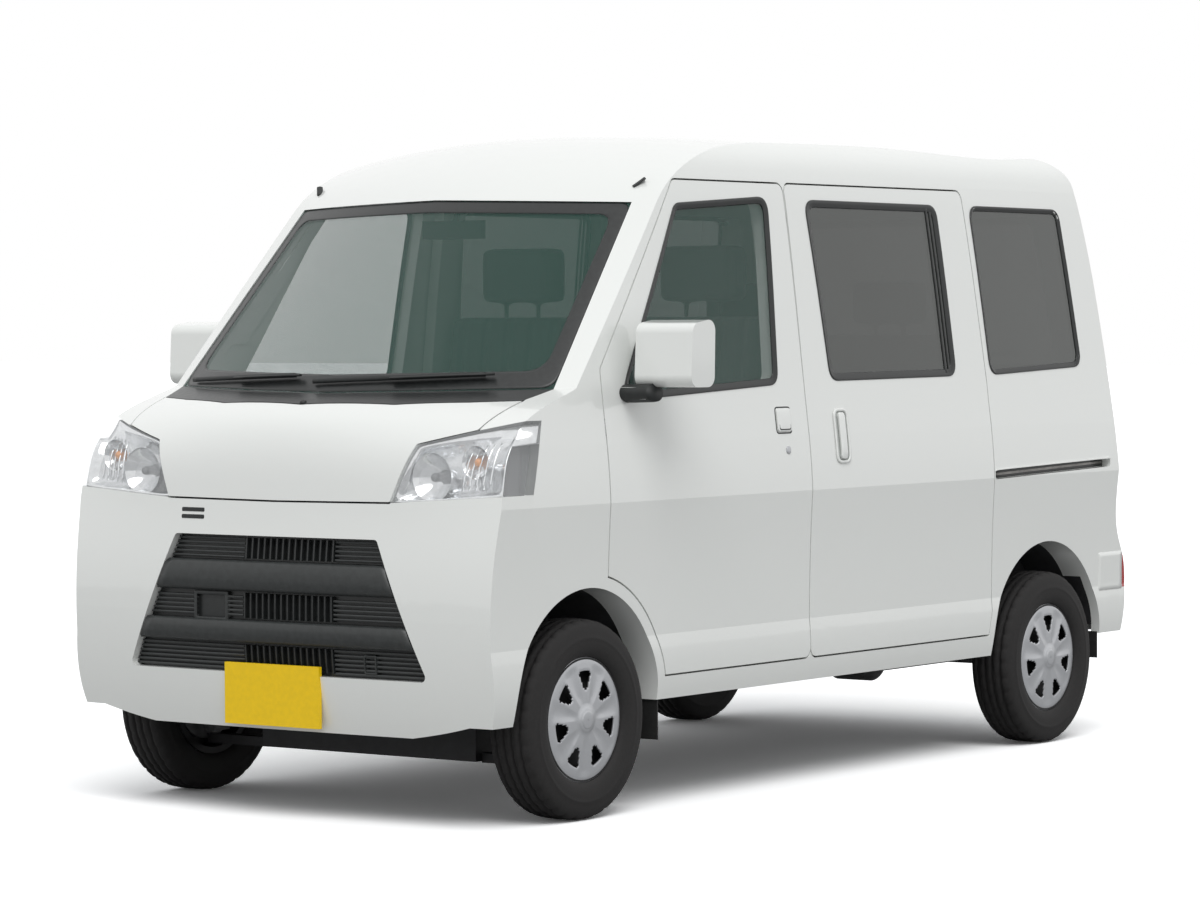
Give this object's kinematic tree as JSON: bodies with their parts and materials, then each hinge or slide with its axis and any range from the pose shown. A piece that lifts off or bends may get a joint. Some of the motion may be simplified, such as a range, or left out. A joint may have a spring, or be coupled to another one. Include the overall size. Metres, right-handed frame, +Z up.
{
  "type": "microvan",
  "caption": "Short high-roof passenger microvan with a sloping nose, sliding side doors, lifting tailgate and turning, steering wheels.",
  "frame": {"origin": "on the ground, at the middle of the overall length and width", "axes": "+Z up, the front faces -Y, +X is the vehicle's left side"},
  "size_m": [1.856, 3.3933, 1.875],
  "materials": {
    "body_paint": "gloss pearl white",
    "bumper_paint": "gloss",
    "black_plastic": "matte",
    "clear_glass": "clear green tint",
    "privacy_glass": "dark tint",
    "lamp_lens": "clear lens",
    "tail_lens": "gloss red",
    "tyre_rubber": "matte",
    "rim_silver": "silver",
    "chassis_black": "satin",
    "cast": "raw",
    "steel": "dull",
    "seat_fabric": "woven",
    "dash_grey": "grained",
    "floor_mat": "carpet",
    "plate": "semi gloss",
    "rubber": "matte"
  },
  "bodies": {
    "body": {"chassis_rails": "chassis_black", "cowl": "black_plastic", "crossmembers": "chassis_black", "dashboard": "dash_grey", "end_panels": "chassis_black", "engine": "cast", "exhaust": "steel", "fenders": "body_paint", "firewall": "chassis_black", "floor": "floor_mat", "front_bumper": "bumper_paint", "front_bumper_lower": "bumper_paint", "front_plate": "plate", "front_subframe": "chassis_black", "fuel_tank": "chassis_black", "grille": "black_plastic", "grille_frame": "bumper_paint", "headlamps": "lamp_lens", "headrests": "seat_fabric", "interior_mirror": "black_plastic", "mud_flaps": "rubber", "propshaft": "cast", "rear_axle": "cast", "rear_bumper": "bumper_paint", "rear_suspension": "chassis_black", "roof": "body_paint", "seat_backs": "seat_fabric", "seat_bases": "black_plastic", "seat_cushions": "seat_fabric", "side_panel_left": "body_paint", "side_panel_right": "body_paint", "side_windows": "privacy_glass", "sliding_door_left": "body_paint", "sliding_door_right": "body_paint", "steering_column": "dash_grey", "tail_lamps": "tail_lens", "wheel_housings": "chassis_black", "windscreen": "clear_glass"},
    "door_fl": {"front_door_left": "body_paint", "front_door_glass_left": "clear_glass", "door_mirror_left": "body_paint"},
    "door_fr": {"front_door_right": "body_paint", "front_door_glass_right": "clear_glass", "door_mirror_right": "body_paint"},
    "tailgate": {"tailgate": "body_paint", "tailgate_glass": "privacy_glass", "rear_plate": "plate"},
    "bonnet": {"bonnet": "body_paint"},
    "fuel_lid": {"fuel_lid": "body_paint"},
    "knuckle_l": {"knuckle_left": "cast"},
    "knuckle_r": {"knuckle_right": "cast"},
    "wheel_fl": {"rim_front_left": "rim_silver", "tyre_front_left": "tyre_rubber"},
    "wheel_fr": {"rim_front_right": "rim_silver", "tyre_front_right": "tyre_rubber"},
    "wheel_rl": {"rim_rear_left": "rim_silver", "tyre_rear_left": "tyre_rubber"},
    "wheel_rr": {"rim_rear_right": "rim_silver", "tyre_rear_right": "tyre_rubber"},
    "steering_wheel": {"steering_wheel": "black_plastic"}
  },
  "joints": [
    {"name": "front_door_left_hinge", "type": "hinge", "parent": "body", "child": "door_fl", "pos_m": [0.733, -1.15, 0.7], "axis": [0, 0, -1], "range_deg": [0, 65]},
    {"name": "front_door_right_hinge", "type": "hinge", "parent": "body", "child": "door_fr", "pos_m": [-0.733, -1.15, 0.7], "axis": [0, 0, 1], "range_deg": [0, 65]},
    {"name": "tailgate_hinge", "type": "hinge", "parent": "body", "child": "tailgate", "pos_m": [0, 1.5425, 1.7185], "axis": [1, 0, 0], "range_deg": [0, 85]},
    {"name": "bonnet_hinge", "type": "hinge", "parent": "body", "child": "bonnet", "pos_m": [0, -1.398, 1.119], "axis": [-1, 0, 0], "range_deg": [0, 50]},
    {"name": "fuel_lid_hinge", "type": "hinge", "parent": "body", "child": "fuel_lid", "pos_m": [-0.736, 1.0125, 0.95], "axis": [0, 0, 1], "range_deg": [0, 90]},
    {"name": "steer_left", "type": "hinge", "parent": "body", "child": "knuckle_l", "pos_m": [0.6, -1.2485, 0.15], "axis": [-0.204, 0, 0.979], "range_deg": [-33, 33]},
    {"name": "steer_right", "type": "hinge", "parent": "body", "child": "knuckle_r", "pos_m": [-0.6, -1.2485, 0.15], "axis": [0.204, 0, 0.979], "range_deg": [-33, 33]},
    {"name": "wheel_front_left_spin", "type": "hinge", "parent": "knuckle_l", "child": "wheel_fl", "pos_m": [0.6525, -1.2485, 0.2685], "axis": [1, 0, 0], "continuous": true},
    {"name": "wheel_front_right_spin", "type": "hinge", "parent": "knuckle_r", "child": "wheel_fr", "pos_m": [-0.6525, -1.2485, 0.2685], "axis": [1, 0, 0], "continuous": true},
    {"name": "wheel_rear_left_spin", "type": "hinge", "parent": "body", "child": "wheel_rl", "pos_m": [0.6525, 1.2015, 0.2685], "axis": [1, 0, 0], "continuous": true},
    {"name": "wheel_rear_right_spin", "type": "hinge", "parent": "body", "child": "wheel_rr", "pos_m": [-0.6525, 1.2015, 0.2685], "axis": [1, 0, 0], "continuous": true},
    {"name": "steering_wheel_turn", "type": "hinge", "parent": "body", "child": "steering_wheel", "pos_m": [-0.33, -0.985, 1.02], "axis": [0, 0.6428, 0.766], "range_deg": [-594, 594]}
  ],
  "couplings": [
    {"joint": "steer_right", "follows": "steer_left", "ratio": 1},
    {"joint": "steering_wheel_turn", "follows": "steer_left", "ratio": 18}
  ]
}
